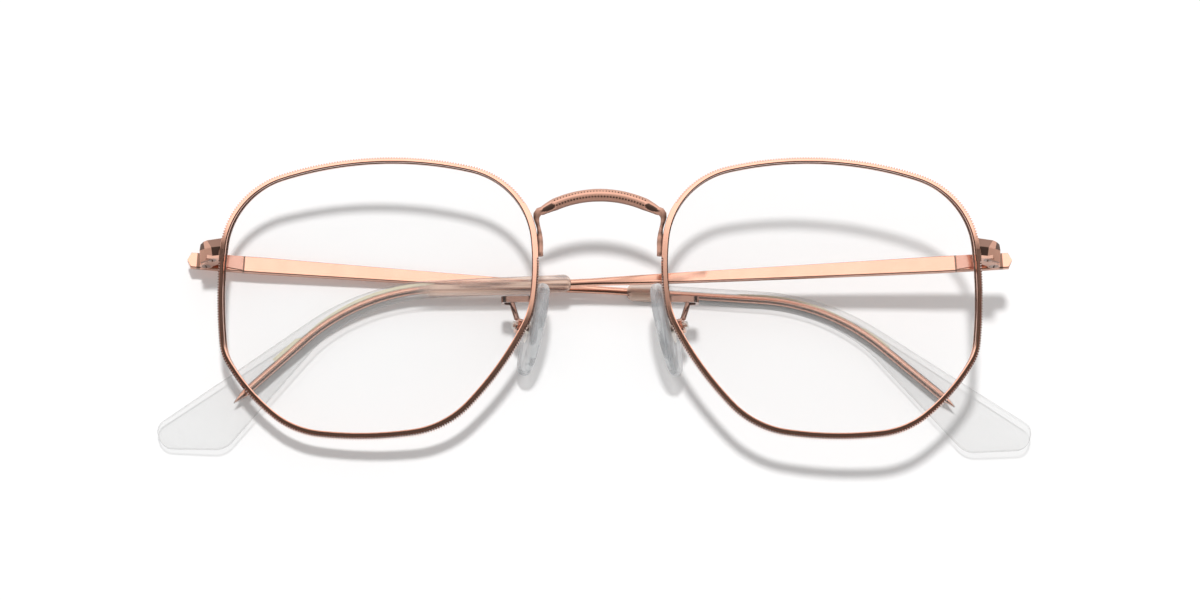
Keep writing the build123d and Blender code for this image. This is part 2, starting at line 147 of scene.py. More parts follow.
def addRange(tree, factor, low, high, edges=(0.0, 1.0), smooth=False):
    spread = tree.nodes.new("ShaderNodeMapRange")
    spread.interpolation_type = "SMOOTHSTEP" if smooth else "LINEAR"
    spread.inputs["From Min"].default_value, spread.inputs["From Max"].default_value = edges
    spread.inputs["To Min"].default_value = low
    spread.inputs["To Max"].default_value = high
    tree.links.new(factor, spread.inputs["Value"])
    return spread.outputs["Result"]


def addBump(tree, shader, height, strength, distance):
    bump = tree.nodes.new("ShaderNodeBump")
    bump.inputs["Strength"].default_value = strength
    bump.inputs["Distance"].default_value = distance
    tree.links.new(height, bump.inputs["Height"])
    tree.links.new(bump.outputs["Normal"], shader.inputs["Normal"])


def mixColours(tree, factor, first, second):
    mix = tree.nodes.new("ShaderNodeMix")
    mix.data_type = "RGBA"
    tree.links.new(factor, mix.inputs["Factor"])
    for socket, colour in ((mix.inputs["A"], first), (mix.inputs["B"], second)):
        if isinstance(colour, tuple):
            socket.default_value = (*colour, 1.0)
        else:
            tree.links.new(colour, socket)
    return mix.outputs["Result"]


bronzeValues = {
    "cloudScale": 260.0,
    "grainScale": 5200.0,
    "roughness": (0.10, 0.20),
    "satin": (0.38, 0.50),
    "satinMetal": 0.5,
    "toneEdges": (0.35, 0.62),
    "grainDetail": 2.0,
    "grainStrength": 0.06,
    "grainHeight": 0.00002,
    # dark colour mixed in where shade and darker reflections are painted
    "paintedShade": (0.10, 0.055, 0.04),
}
# Darker tones paint shade: shaded and arm dull parts that sit in shade or show dark reflections, knurl
# paints the shade between the coin edge's teeth, dark paints the bridge's engraved dots as shade
bronzeTones = {
    "plain": {"pale": (0.96, 0.525, 0.385), "deep": (0.92, 0.495, 0.36)},
    "leaf": {"pale": (0.65, 0.36, 0.28), "deep": (0.61, 0.335, 0.26)},
    "shaded": {"pale": (0.60, 0.35, 0.265), "deep": (0.52, 0.30, 0.225)},
    "arm": {"pale": (0.34, 0.195, 0.15), "deep": (0.27, 0.155, 0.12)},
    "knurl": {"pale": (0.74, 0.42, 0.32), "deep": (0.66, 0.37, 0.28)},
    "bridge": {"pale": (0.90, 0.49, 0.36), "deep": (0.84, 0.455, 0.33)},
    "dark": {"pale": (0.20, 0.12, 0.09), "deep": (0.13, 0.075, 0.055)},
}


def makeBronze(name, tone, shadePainted=False, satin=False):
    values = bronzeValues
    material, tree, shader, place = startMaterial(name)
    cloud = addNoise(tree, place, values["cloudScale"])
    grain = addNoise(tree, place, values["grainScale"], values["grainDetail"])
    low, high = values["toneEdges"]
    colour = addRamp(tree, cloud, [(low, bronzeTones[tone]["deep"]), (high, bronzeTones[tone]["pale"])])
    # Painted shade and darker reflections, read from the mesh attribute
    if shadePainted:
        dark = tree.nodes.new("ShaderNodeAttribute")
        dark.attribute_name = "paintedShade"
        colour = mixColours(tree, dark.outputs["Fac"], colour, values["paintedShade"])
    tree.links.new(colour, shader.inputs["Base Color"])
    roughness = values["satin"] if satin else values["roughness"]
    tree.links.new(addRange(tree, grain, *roughness), shader.inputs["Roughness"])
    addBump(tree, shader, grain, values["grainStrength"], values["grainHeight"])
    shader.inputs["Metallic"].default_value = values["satinMetal"] if satin else 1.0
    return material


steelValues = {
    "pale": (0.80, 0.77, 0.72),
    "deep": (0.62, 0.59, 0.55),
    "cloudScale": 700.0,
    "grainScale": 6000.0,
    "roughness": (0.20, 0.34),
    "toneEdges": (0.35, 0.65),
    "grainDetail": 2.0,
    "grainStrength": 0.08,
    "grainHeight": 0.00002,
    "darkWarm": {"pale": (0.42, 0.31, 0.27), "deep": (0.22, 0.15, 0.125)},
}


def makeSteel(name, values=steelValues):
    material, tree, shader, place = startMaterial(name)
    cloud = addNoise(tree, place, values["cloudScale"])
    grain = addNoise(tree, place, values["grainScale"], values["grainDetail"])
    low, high = values["toneEdges"]
    colour = addRamp(tree, cloud, [(low, values["deep"]), (high, values["pale"])])
    tree.links.new(colour, shader.inputs["Base Color"])
    tree.links.new(addRange(tree, grain, *values["roughness"]), shader.inputs["Roughness"])
    addBump(tree, shader, grain, values["grainStrength"], values["grainHeight"])
    shader.inputs["Metallic"].default_value = 1.0
    return material


clearValues = {
    "lens": {
        "tones": [(0.4, (0.35, 0.36, 0.36)), (0.9, (0.60, 0.62, 0.62))],
        "seen": (0.026, 0.08),
        "roughness": 0.02,
    },
    "tip": {
        "tones": [(0.40, (0.36, 0.36, 0.35)), (0.70, (0.46, 0.46, 0.45)), (0.9, (0.16, 0.15, 0.14))],
        "seen": (0.08, 0.72),
        "roughness": 0.06,
    },
    "pad": {
        "tones": [(0.10, (0.50, 0.52, 0.53)), (0.50, (0.62, 0.64, 0.66)), (0.92, (0.20, 0.21, 0.23))],
        "seen": (0.40, 0.90),
        "roughness": 0.08,
    },
}
# painted reflection streaks along the pads, and the core that shows through a straight sleeve: its own
# colour with painted highlight and dark stripes
streakValues = {
    "pad": {
        "scale": (620.0, 60.0, 620.0),
        "tones": [(0.36, (0.24, 0.255, 0.27)), (0.48, (0.42, 0.44, 0.45)), (0.60, (0.95, 0.97, 0.98))],
    },
    "tip": {
        "scale": (8.0, 1300.0, 1300.0),
        "tones": [(0.32, (0.15, 0.11, 0.10)), (0.45, (0.42, 0.28, 0.225)), (0.60, (0.95, 0.70, 0.56))],
    },
}
edgeValues = {"blend": 0.35, "seen": (0.35, 0.95), "streaks": (0.75, 0.35), "hazeScale": 320.0, "ior": 1.49}
warmValues = {"seen": 0.5, "left": (-0.031, -0.026), "right": (0.012, 0.010)}


def addStreaks(tree, place, values):
    stretch = tree.nodes.new("ShaderNodeMapping")
    stretch.inputs["Scale"].default_value = values["scale"]
    tree.links.new(place, stretch.inputs["Vector"])
    return addRamp(tree, addNoise(tree, stretch.outputs["Vector"], 1.0, 1.0), values["tones"])


def makeClear(name, values, warm=None, streaked=False):
    material, tree, shader, place = startMaterial(name)
    haze = addNoise(tree, place, edgeValues["hazeScale"])
    # The facing ramp paints dark outlines and pale rims on the clear edges: painted reflection.
    facing = tree.nodes.new("ShaderNodeLayerWeight")
    facing.inputs["Blend"].default_value = edgeValues["blend"]
    edge = facing.outputs["Facing"]
    colour = addRamp(tree, edge, values["tones"])
    if streaked:
        share = addRange(tree, edge, *edgeValues["streaks"])
        colour = mixColours(tree, share, colour, addStreaks(tree, place, streakValues["pad"]))
    alpha = addRange(tree, edge, *values["seen"], edgeValues["seen"], True)
    # Where a straight sleeve shows the core, the core's colour and its painted highlight stripes go onto
    # the sleeve.
    if warm:
        parts = tree.nodes.new("ShaderNodeSeparateXYZ")
        tree.links.new(place, parts.inputs["Vector"])
        share = addRange(tree, parts.outputs["X"], 0.0, 1.0, warm, True)
        colour = mixColours(tree, share, colour, addStreaks(tree, place, streakValues["tip"]))
        raised = tree.nodes.new("ShaderNodeMapRange")
        raised.inputs["To Max"].default_value = warmValues["seen"]
        tree.links.new(share, raised.inputs["Value"])
        tree.links.new(alpha, raised.inputs["To Min"])
        alpha = raised.outputs["Result"]
    tree.links.new(colour, shader.inputs["Base Color"])
    tree.links.new(addRange(tree, haze, 0.0, values["roughness"]), shader.inputs["Roughness"])
    tree.links.new(alpha, shader.inputs["Alpha"])
    shader.inputs["IOR"].default_value = edgeValues["ior"]
    return material


plainBronze = makeBronze("plainBronze", "plain")
# This copy paints shade and darker reflections from the mesh attribute.
shadePaintedBronze = makeBronze("shadePaintedBronze", "plain", True)
bridgeBronze = makeBronze("bridgeBronze", "bridge", True, True)
leafBronze = makeBronze("leafBronze", "leaf")
shadedBronze = makeBronze("shadedBronze", "shaded")
knurlBronze = makeBronze("knurlBronze", "knurl")
darkBronze = makeBronze("darkBronze", "dark")
slotMaterials = {
    "bronze_metal": plainBronze,
    "screw_steel": makeSteel("screwSteel"),
    "clear_lens": makeClear("clearLens", clearValues["lens"]),
    "clear_tip": makeClear("clearTip", clearValues["tip"]),
    "clear_pad": makeClear("clearPad", clearValues["pad"], streaked=True),
}
armBronze = makeBronze("armBronze", "arm")
# A darker, warmer steel for the screws: painted shade of the holes they sit in.
darkWarmSteel = makeSteel("darkWarmSteel", {**steelValues, **steelValues["darkWarm"]})
# Darker bronze copies paint shade and dull reflections on the pad arms, pad boxes, closing blocks and front
# hinges
pieceMaterials = {
    "closing_screw": darkWarmSteel,
    "hinge_screw": darkWarmSteel,
    "pad_arm": armBronze,
    "pad_box": shadedBronze,
    "closing_block_upper": shadedBronze,
    "closing_block_lower": shadedBronze,
    "temple_hinge": leafBronze,
    "front_hinge": shadedBronze,
}
nodeMaterials = {piece + "_" + side: made for piece, made in pieceMaterials.items() for side in sides}
for side in sides:
    tipName = "clearTip" + side.capitalize()
    nodeMaterials["temple_tip_" + side] = makeClear(tipName, clearValues["tip"], warmValues[side])
print("materials made")


# Smooth shading of the solids

shellValues = {"weld": 0.0000005, "sharpAngle": math.radians(28)}


def makeShellNodes():
    values = shellValues
    group = bpy.data.node_groups.new("smoothShell", "GeometryNodeTree")
    group.interface.new_socket("Geometry", in_out="INPUT", socket_type="NodeSocketGeometry")
    group.interface.new_socket("Geometry", in_out="OUTPUT", socket_type="NodeSocketGeometry")
    start = group.nodes.new("NodeGroupInput")
    end = group.nodes.new("NodeGroupOutput")
    weld = group.nodes.new("GeometryNodeMergeByDistance")
    weld.inputs["Distance"].default_value = values["weld"]
    faces = group.nodes.new("GeometryNodeSetShadeSmooth")
    faces.domain = "FACE"
    edges = group.nodes.new("GeometryNodeSetShadeSmooth")
    edges.domain = "EDGE"
    edges.inputs["Shade Smooth"].default_value = False
    angle = group.nodes.new("GeometryNodeInputMeshEdgeAngle")
    compare = group.nodes.new("FunctionNodeCompare")
    compare.data_type = "FLOAT"
    compare.operation = "GREATER_THAN"
    compare.inputs["B"].default_value = values["sharpAngle"]
    group.links.new(start.outputs["Geometry"], weld.inputs["Geometry"])
    group.links.new(weld.outputs["Geometry"], faces.inputs["Geometry"])
    group.links.new(faces.outputs["Geometry"], edges.inputs["Geometry"])
    group.links.new(angle.outputs["Unsigned Angle"], compare.inputs["A"])
    group.links.new(compare.outputs["Result"], edges.inputs["Selection"])
    group.links.new(edges.outputs["Geometry"], end.inputs["Geometry"])
    return group


shellNodes = makeShellNodes()
slotOf = {entry["node"]: entry["material_slot"] for entry in frame["record"]["subparts"]}
for name, solid in nodes.items():
    solid.data.materials.clear()
    solid.data.materials.append(nodeMaterials.get(name, slotMaterials[slotOf[name]]))
    smoothing = solid.modifiers.new("smoothShell", "NODES")
    smoothing.node_group = shellNodes
print("solids dressed")


# Repeated small forms along a path


def makeRepeatNodes():
    group = bpy.data.node_groups.new("repeatAlongPath", "GeometryNodeTree")
    sockets = {}
    for name, kind in (
        ("Geometry", "NodeSocketGeometry"),
        ("Item", "NodeSocketObject"),
        ("Pitch", "NodeSocketFloat"),
        ("Material", "NodeSocketMaterial"),
    ):
        sockets[name] = group.interface.new_socket(name, in_out="INPUT", socket_type=kind).identifier
    group.interface.new_socket("Geometry", in_out="OUTPUT", socket_type="NodeSocketGeometry")
    start = group.nodes.new("NodeGroupInput")
    end = group.nodes.new("NodeGroupOutput")
    curve = group.nodes.new("GeometryNodeMeshToCurve")
    resample = group.nodes.new("GeometryNodeResampleCurve")
    resample.mode = "LENGTH"
    item = group.nodes.new("GeometryNodeObjectInfo")
    tangent = group.nodes.new("GeometryNodeInputTangent")
    turn = group.nodes.new("FunctionNodeAlignRotationToVector")
    turn.axis = "X"
    turn.pivot_axis = "Z"
    place = group.nodes.new("GeometryNodeInstanceOnPoints")
    realize = group.nodes.new("GeometryNodeRealizeInstances")
    paint = group.nodes.new("GeometryNodeSetMaterial")
    link = group.links.new
    link(start.outputs["Geometry"], curve.inputs["Mesh"])
    link(curve.outputs["Curve"], resample.inputs["Curve"])
    link(start.outputs["Pitch"], resample.inputs["Length"])
    link(start.outputs["Item"], item.inputs["Object"])
    link(tangent.outputs["Tangent"], turn.inputs["Vector"])
    link(resample.outputs["Curve"], place.inputs["Points"])
    link(item.outputs["Geometry"], place.inputs["Instance"])
    link(turn.outputs["Rotation"], place.inputs["Rotation"])
    link(place.outputs["Instances"], realize.inputs["Geometry"])
    link(realize.outputs["Geometry"], paint.inputs["Geometry"])
    link(start.outputs["Material"], paint.inputs["Material"])
    link(paint.outputs["Geometry"], end.inputs["Geometry"])
    return group, sockets


repeatNodes, repeatSockets = makeRepeatNodes()


def repeatAlong(name, paths, item, pitch, material, body):
    # paths are lists of front-frame points in millimetres
    points = []
    edges = []
    for path in paths:
        first = len(points)
        points += [Vector(point) * millimetre for point in path]
        edges += [(first + step, first + step + 1) for step in range(len(path) - 1)]
    guideMesh = bpy.data.meshes.new(name + "Guide")
    guideMesh.from_pydata([tuple(point) for point in points], edges, [])
    guide = linkObject(name + "Guide", guideMesh)
    modifier = guide.modifiers.new("repeat", "NODES")
    modifier.node_group = repeatNodes
    modifier[repeatSockets["Item"]] = item
    modifier[repeatSockets["Pitch"]] = pitch * millimetre
    modifier[repeatSockets["Material"]] = material
    graph = bpy.context.evaluated_depsgraph_get()
    mesh = bpy.data.meshes.new_from_object(guide.evaluated_get(graph))
    mesh.name = name
    mesh.transform(frontMatrix)
    bpy.data.objects.remove(guide)
    made = linkObject(name, mesh)
    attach(made, body)
    print(name, "has", len(mesh.polygons), "faces")
    return made


# Rims with their coin edge

rimValues = {
    "edgeBreak": 0.12,
    "depth": 2.0,
    "width": 0.74,
    "knurlDepth": 0.24,
    "outerBreak": 0.07,
    "innerBreak": 0.17,
    "innerBreakDepth": 0.15,
    "grooveStart": 0.55,
    "grooveDepth": 0.45,
    "step": 0.25,
    "slitHeight": 8.1,
    "slitGap": 0.08,
    "slitLean": 0.158,
    "slitReach": 2.0,
    "endPieceHeights": (6.2, 9.9),
    "legHeights": (6.6, 15.6),
    "lensOffset": 36.0,
    "knurlPitch": 0.44,
    "wallTolerance": 0.004,
    "shortestStretch": 5,
    "sharpShare": 1 / 3,
    # outer edge, inner edge and band slope where the rim faces each way
    "bands": {
        "outboard": (-0.45, 0.44, 0.34),
        "nose": (-0.20, 0.88, 0.13),
        "top": (0.0, 0.84, 0.24),
        "bottom": (0.0, 1.05, 0.24),
    },
}


def wallPoints(side):
    values = rimValues
    found = {}
    for vertex in nodes["rim_" + side].data.vertices:
        point = (frontInverse @ vertex.co) / millimetre
        if abs(-point.z - values["edgeBreak"]) < values["wallTolerance"]:
            found[(round(point.x, 2), round(point.y, 2))] = Vector((point.x, point.y, 0.0))
    centre = Vector((sides[side] * values["lensOffset"], 0.0, 0.0))
    slit = Vector((sides[side] * 2 * values["lensOffset"], values["slitHeight"], 0.0)) - centre
    slitAngle = math.atan2(slit.y, slit.x)

    def turnFromSlit(point):
        angle = math.atan2(point.y - centre.y, point.x - centre.x) - slitAngle
        return (-angle) % (2 * math.pi)

    corners = sorted(found.values(), key=turnFromSlit)
    return [endAtSlit(*corners[:2]), *corners, endAtSlit(*corners[:-3:-1])], centre


def endAtSlit(last, before):
    values = rimValues
    target = values["slitHeight"] + math.copysign(values["slitGap"], last.y - values["slitHeight"])
    return last + (last - before) * ((target - last.y) / (last.y - before.y))


def slitShift(point, depth, side):
    # The slit leans with the hinge, so the sections next to it lean too
    values = rimValues
    if point.x * sides[side] < values["lensOffset"]:
        return Vector()
    share = max(0.0, 1.0 - abs(point.y - values["slitHeight"]) / values["slitReach"])
    return Vector((0.0, depth * values["slitLean"] * share, 0.0))


def smoothPath(points, step):
    # Cubic through every point, with slopes from its neighbours by distance
    distances = [0.0]
    for before, after in zip(points, points[1:]):
        distances.append(distances[-1] + (after - before).length)
    slopes = []
    for index in range(len(points)):
        low = max(index - 1, 0)
        high = min(index + 1, len(points) - 1)
        if low == index or high == index:
            slopes.append((points[high] - points[low]) / (distances[high] - distances[low]))
            continue
        first = (points[index] - points[low]) / (distances[index] - distances[low])
        second = (points[high] - points[index]) / (distances[high] - distances[index])
        share = (distances[index] - distances[low]) / (distances[high] - distances[low])
        slopes.append(first.lerp(second, share))
    count = round(distances[-1] / step)
    path = []
    segment = 0
    for index in range(count + 1):
        place = distances[-1] * index / count
        while segment < len(points) - 2 and distances[segment + 1] < place:
            segment += 1
        length = distances[segment + 1] - distances[segment]
        share = (place - distances[segment]) / length
        square, cube = share**2, share**3
        path.append(
            points[segment] * (2 * cube - 3 * square + 1)
            + slopes[segment] * length * (cube - 2 * square + share)
            + points[segment + 1] * (3 * square - 2 * cube)
            + slopes[segment + 1] * length * (cube - square)
        )
    return path


def isPlain(point, side):
    # The coin edge stops under the end piece and under the bridge's leg
    values = rimValues
    outboard = abs(point.x) > values["lensOffset"]
    low, high = values["endPieceHeights"] if outboard else values["legHeights"]
    return low < point.y < high and abs(abs(point.x) - values["lensOffset"]) > values["lensOffset"] / 2


def rimBand(outward, side):
    # Shares of the four directions are the squares of the parts of a unit vector
    across = outward.x * sides[side]
    band = [0.0, 0.0, 0.0]
    for part, name in ((across, "outboard"), (-across, "nose"), (outward.y, "top"), (-outward.y, "bottom")):
        if part > 0:
            band = [had + part**2 * value for had, value in zip(band, rimValues["bands"][name])]
    return band


def rimSection(root, inner, slope):
    # (in from the outer wall, behind the lens plane, painted shade) round the section, darkest at the coin
    # edge's root and in the back groove
    values = rimValues
    width = values["width"]
    depth = values["depth"]
    grooveEnd = depth - values["grooveStart"]
    back = max(inner, width)
    wall = inner + (back - inner) * values["grooveStart"] / depth
    drop = slope * (inner - values["innerBreak"] - root - values["outerBreak"])
    return [
        (root, drop + values["outerBreak"], 0.8),
        (root + values["outerBreak"], drop, 0.0),
        (inner - values["innerBreak"], 0.0, 0.0),
        (inner, values["innerBreakDepth"], 0.25),
        (wall, values["grooveStart"], 0.35),
        (width - values["grooveDepth"], depth / 2, 0.6),
        (back, grooveEnd, 0.35),
        (back, depth - values["outerBreak"], 0.2),
        (back - values["outerBreak"], depth, 0.1),
        (root + values["outerBreak"], depth, 0.1),
        (root, depth - values["outerBreak"], 0.8),
    ]


def makeRim(side):
    values = rimValues
    corners, centre = wallPoints(side)
    path = smoothPath(corners, values["step"])
    points = []
    paintedShade = []
    outwards = []
    for index, point in enumerate(path):
        along = path[min(index + 1, len(path) - 1)] - path[max(index - 1, 0)]
        outward = Vector((along.y, -along.x, 0.0)).normalized()
        if outward.dot(point - centre) < 0:
            outward = -outward
        outwards.append(outward)
        outer, inner, slope = rimBand(outward, side)
        root = outer if isPlain(point, side) else outer + values["knurlDepth"]
        for inward, depth, dark in rimSection(root, inner, slope):
            skin = point - outward * inward - Vector((0.0, 0.0, depth))
            points.append(skin - slitShift(point, depth, side))
            paintedShade.append(dark)
    name = "rimDressed_" + side
    mesh = frontMesh(name, points, ringFaces(len(path), len(points) // len(path)))
    addPaintedShade(mesh, paintedShade, shadePaintedBronze)
    for polygon in mesh.polygons:
        polygon.use_smooth = True
    mesh.set_sharp_from_angle(angle=shellValues["sharpAngle"] * values["sharpShare"])
    dressNode(name, mesh, "front", "rim_" + side)
    stretches = []
    for point, outward in zip(path, outwards):
        if isPlain(point, side):
            stretches.append([])
            continue
        if not stretches:
            stretches.append([])
        stretches[-1].append(point - outward * (rimBand(outward, side)[0] + values["knurlDepth"]))
    return [stretch for stretch in stretches if len(stretch) >= values["shortestStretch"]]


toothValues = {"base": 0.36, "crest": 0.13, "sink": 0.05, "depthStart": 0.14, "endSlope": 0.10}


def makeTooth():
    # X runs along the rim, Y outward and Z to the front
    values = toothValues
    front = -values["depthStart"]
    back = -rimValues["depth"] - front
    height = rimValues["knurlDepth"]
    slope = values["endSlope"]
    rings = [
        (-values["base"] / 2, -values["sink"], 0.0),
        (-values["crest"] / 2, height, slope),
        (values["crest"] / 2, height, slope),
        (values["base"] / 2, -values["sink"], 0.0),
    ]
    points = [Vector((along, out, front - inset)) for along, out, inset in rings]
    points += [Vector((along, out, back + inset)) for along, out, inset in rings]
    faces = [(0, 1, 2, 3), (7, 6, 5, 4), (0, 4, 5, 1), (1, 5, 6, 2), (2, 6, 7, 3), (3, 7, 4, 0)]
    return linkObject("coinTooth", meshFrom("coinTooth", [point * millimetre for point in points], faces))


tooth = makeTooth()
for side, sign in sides.items():
    stretches = makeRim(side)
    # The tooth points to the left of its path, so both rims run clockwise
    # The teeth take the darker knurl bronze, painted shade between them.
    repeatAlong("coinEdge_" + side, stretches, tooth, rimValues["knurlPitch"], knurlBronze, "front")
bpy.data.objects.remove(tooth)
print("rims made")


# Temple bars with their rounded rod

barValues = {
    "pivotReach": 64.6,
    "pivotDepth": 5.0,
    "foldAngles": {"left": 2.0995, "right": 5.7002},
    "hingeHeight": 8.1006,
    "hingeTilt": 9.0,
    "middle": 1.75,
    "bowRadius": 2400.0,
    "dropAngle": 2.6,
    "bendStart": 92.0,
    "bendRadius": 32.7,
    "bendAngles": {"left": 41.0, "right": 38.0},
    "tail": 13.0,
    "point": 2.6,
    "ring": 40,
    "twist": (47.0, 64.0),
    "seams": [(-1.55, -0.95), (6.02, 6.32)],
    "seamShade": 0.85,
    # painted shade of the bevels, and the height share past which they start
    "bevelShade": (0.45, 0.93),
    # painted reflection lines over the twist: strength, turns along the twist and turn across it
    "twistLines": (0.5, 9.0, 2.2),
    "stripeReach": 0.3,
    "pointHalf": 0.03,
    "buttPlaces": [-3.1, -2.5, -2.4, -1.6, -1.5, -1.0, -0.9, 6.0, 6.05, 6.3, 6.35, 9.0, 20.0, 30.0, 40.0],
    # start, step and count of the places along the taper, then along the rod
    "taperPlaces": (40.0, 0.75, 69),
    "rodPlaces": (92.5, 1.0, 93.0),
    # distance along, half height, half thickness, squareness
    "stations": [
        (-3.1, 0.05, 0.50, 8.0),
        (-2.5, 1.3, 0.55, 9.0),
        (9.0, 1.375, 0.55, 9.0),
        (47.5, 0.9, 0.55, 9.0),
        (56.0, 0.80, 0.53, 5.0),
        (61.0, 0.72, 0.52, 3.4),
        (66.0, 0.60, 0.50, 2.6),
        (400.0, 0.60, 0.50, 2.6),
    ],
    # painted dark lines and highlights of the rod, by share of its height
    "rodStripes": [
        (-1.0, 0.2),
        (-0.62, 0.2),
        (-0.5, 0.7),
        (-0.08, 0.6),
        (0.02, 0.0),
        (0.2, 0.1),
        (0.3, 0.35),
        (1.0, 0.4),
    ],
}


def templeToFront(point, side):
    values = barValues
    fold = math.radians(180 + values["foldAngles"][side])
    across = point.x * math.cos(fold) - point.y * math.sin(fold) + values["pivotReach"]
    forward = point.x * math.sin(fold) + point.y * math.cos(fold) - values["pivotDepth"]
    tilt = math.radians(values["hingeTilt"])
    high = values["hingeHeight"] + forward * math.sin(tilt) + point.z * math.cos(tilt)
    out = forward * math.cos(tilt) - point.z * math.sin(tilt)
    return Vector((sides[side] * across, high, out))


def alongBar(distance, side):
    # Side view of the bar's middle line and the direction across it
    values = barValues
    over = distance - values["bendStart"]
    if over <= 0:
        return Vector((distance, 0.0)), Vector((0.0, 1.0))
    turn = min(over / values["bendRadius"], math.radians(values["bendAngles"][side]))
    rest = over - turn * values["bendRadius"]
    middle = Vector((values["bendStart"] + math.sin(turn) * values["bendRadius"], 0.0))
    middle.y = (math.cos(turn) - 1) * values["bendRadius"]
    middle += Vector((math.cos(turn), -math.sin(turn))) * rest
    return middle, Vector((math.sin(turn), math.cos(turn)))


def mixStations(stations, place):
    for before, after in zip(stations, stations[1:]):
        if place <= after[0]:
            share = max(0.0, (place - before[0]) / (after[0] - before[0]))
            return [low + (high - low) * share for low, high in zip(before[1:], after[1:])]
    return list(stations[-1][1:])


def rodEnd(side):
    values = barValues
    bendLength = math.radians(values["bendAngles"][side]) * values["bendRadius"]
    return values["bendStart"] + bendLength + values["tail"]


def barPoint(flat, out, side):
    # From the bar's side view, and a distance out of it, to the front frame
    values = barValues
    drop = math.radians(values["dropAngle"])
    along = flat.x * math.cos(drop) + flat.y * math.sin(drop)
    tall = flat.y * math.cos(drop) - flat.x * math.sin(drop)
    bowed = values["middle"] - flat.x**2 / (2 * values["bowRadius"]) + out
    return templeToFront(Vector((along, bowed, tall)), side)


def barPlaces(end):
    values = barValues
    start, gap, count = values["taperPlaces"]
    places = [*values["buttPlaces"], *(start + gap * step for step in range(1, count + 1))]
    start, gap, spare = values["rodPlaces"]
    places += [start + gap * step for step in range(int(end - spare))]
    return [*places, end, end + values["point"]]


def barShade(place, up, out):
    # Painted shade and reflections: dark bevels and seams on the bar, twist lines after it, dark and pale
    # stripes on the rod
    values = barValues
    low, high = values["twist"]
    rounded = min(max((place - low) / (high - low), 0.0), 1.0)
    bevel, start = values["bevelShade"]
    flat = bevel if abs(up) > start else 0.0
    if any(first < place < last for first, last in values["seams"]):
        flat = values["seamShade"]
    stripe = mixStations(values["rodStripes"], up)[0]
    strength, turns, across = values["twistLines"]
    twisted = strength * max(0.0, math.sin(turns * rounded + across * up)) * (0.0 < rounded < 1.0)
    return max(twisted, flat * (1 - rounded) + stripe * rounded * (out < values["stripeReach"]))


def makeBar(side):
    values = barValues
    end = rodEnd(side)
    places = barPlaces(end)
    points = []
    paintedShade = []
    for place in places:
        middle, across = alongBar(place, side)
        height, depth, square = mixStations(values["stations"], place)
        if place > end:
            height = depth = values["pointHalf"]
        for step in range(values["ring"]):
            angle = 2 * math.pi * step / values["ring"] + math.pi / values["ring"]
            up = math.copysign(abs(math.sin(angle)) ** (2 / square), math.sin(angle))
            out = math.copysign(abs(math.cos(angle)) ** (2 / square), math.cos(angle))
            points.append(barPoint(middle + across * (up * height), out * depth, side))
            paintedShade.append(barShade(place, up, out))
    name = "barDressed_" + side
    mesh = frontMesh(name, points, ringFaces(len(places), values["ring"]))
    addPaintedShade(mesh, paintedShade, shadePaintedBronze)
    for polygon in mesh.polygons:
        polygon.use_smooth = True
    mesh.set_sharp_from_angle(angle=shellValues["sharpAngle"])
    dressNode(name, mesh, "temple_" + side, "temple_bar_" + side)


glintValues = {
    "start": {"left": 92.0, "right": 88.0},
    "end": {"left": 7.0, "right": 12.0},
    "step": 1.0,
    "rise": {"left": (0.55, 1.25), "right": (0.60, 0.95)},
    "thickness": 0.12,
    # how the strip swells: offset, speed and two powers, then full from the share on
    "swell": (0.06, 1.2, 0.7, 0.5),
    "fullShare": 0.8,
    "leastSwell": 0.15,
    "tone": (0.86, 0.80, 0.60),
    "haze": (0.80, 0.74, 0.55),
    "cloudScale": 900.0,
    "roughness": 0.3,
    "alpha": 0.75,
}


def makeGlintMaterial():
    material, tree, shader, place = startMaterial("sleeveGlint")
    cloud = addNoise(tree, place, glintValues["cloudScale"])
    colour = addRamp(tree, cloud, [(0.3, glintValues["haze"]), (0.7, glintValues["tone"])])
    tree.links.new(colour, shader.inputs["Base Color"])
    shader.inputs["Roughness"].default_value = glintValues["roughness"]
    shader.inputs["Alpha"].default_value = glintValues["alpha"]
    return material


def glintSwell(share):
    values = glintValues
    offset, speed, lean, bulge = values["swell"]
    if share >= values["fullShare"]:
        return 1.0
    return math.sin(math.pi * min(1.0, offset + speed * share) ** lean) ** bulge


def makeGlint(side, material):
    # The pale strip that the core throws into the sleeve beside it
    values = glintValues
    start = values["start"][side]
    end = rodEnd(side) - values["end"][side]
    count = round((end - start) / values["step"])
    low, high = values["rise"][side]
    points = []
    for index in range(count + 1):
        share = index / count
        swell = glintSwell(share)
        middle, across = alongBar(start + (end - start) * share, side)
        for rise in (low, low + (high - low) * max(values["leastSwell"], swell)):
            for half in (-values["thickness"] / 2, values["thickness"] / 2):
                points.append(barPoint(middle + across * rise, half, side))
    faces = []
    for index in range(count):
        first, then = index * 4, index * 4 + 4
        for corner, following in ((0, 1), (1, 3), (3, 2), (2, 0)):
            faces.append((first + corner, first + following, then + following, then + corner))
    faces += [(0, 2, 3, 1), tuple(count * 4 + corner for corner in (0, 1, 3, 2))]
    mesh = frontMesh("sleeveGlint_" + side, points, faces)
    mesh.materials.append(material)
    glint = linkObject("sleeveGlint_" + side, mesh)
    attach(glint, "temple_" + side)


glintMaterial = makeGlintMaterial()
for side in sides:
    makeBar(side)
    makeGlint(side, glintMaterial)
print("temple bars made")


# Bridge: arched tube, legs, end pieces and bead rows

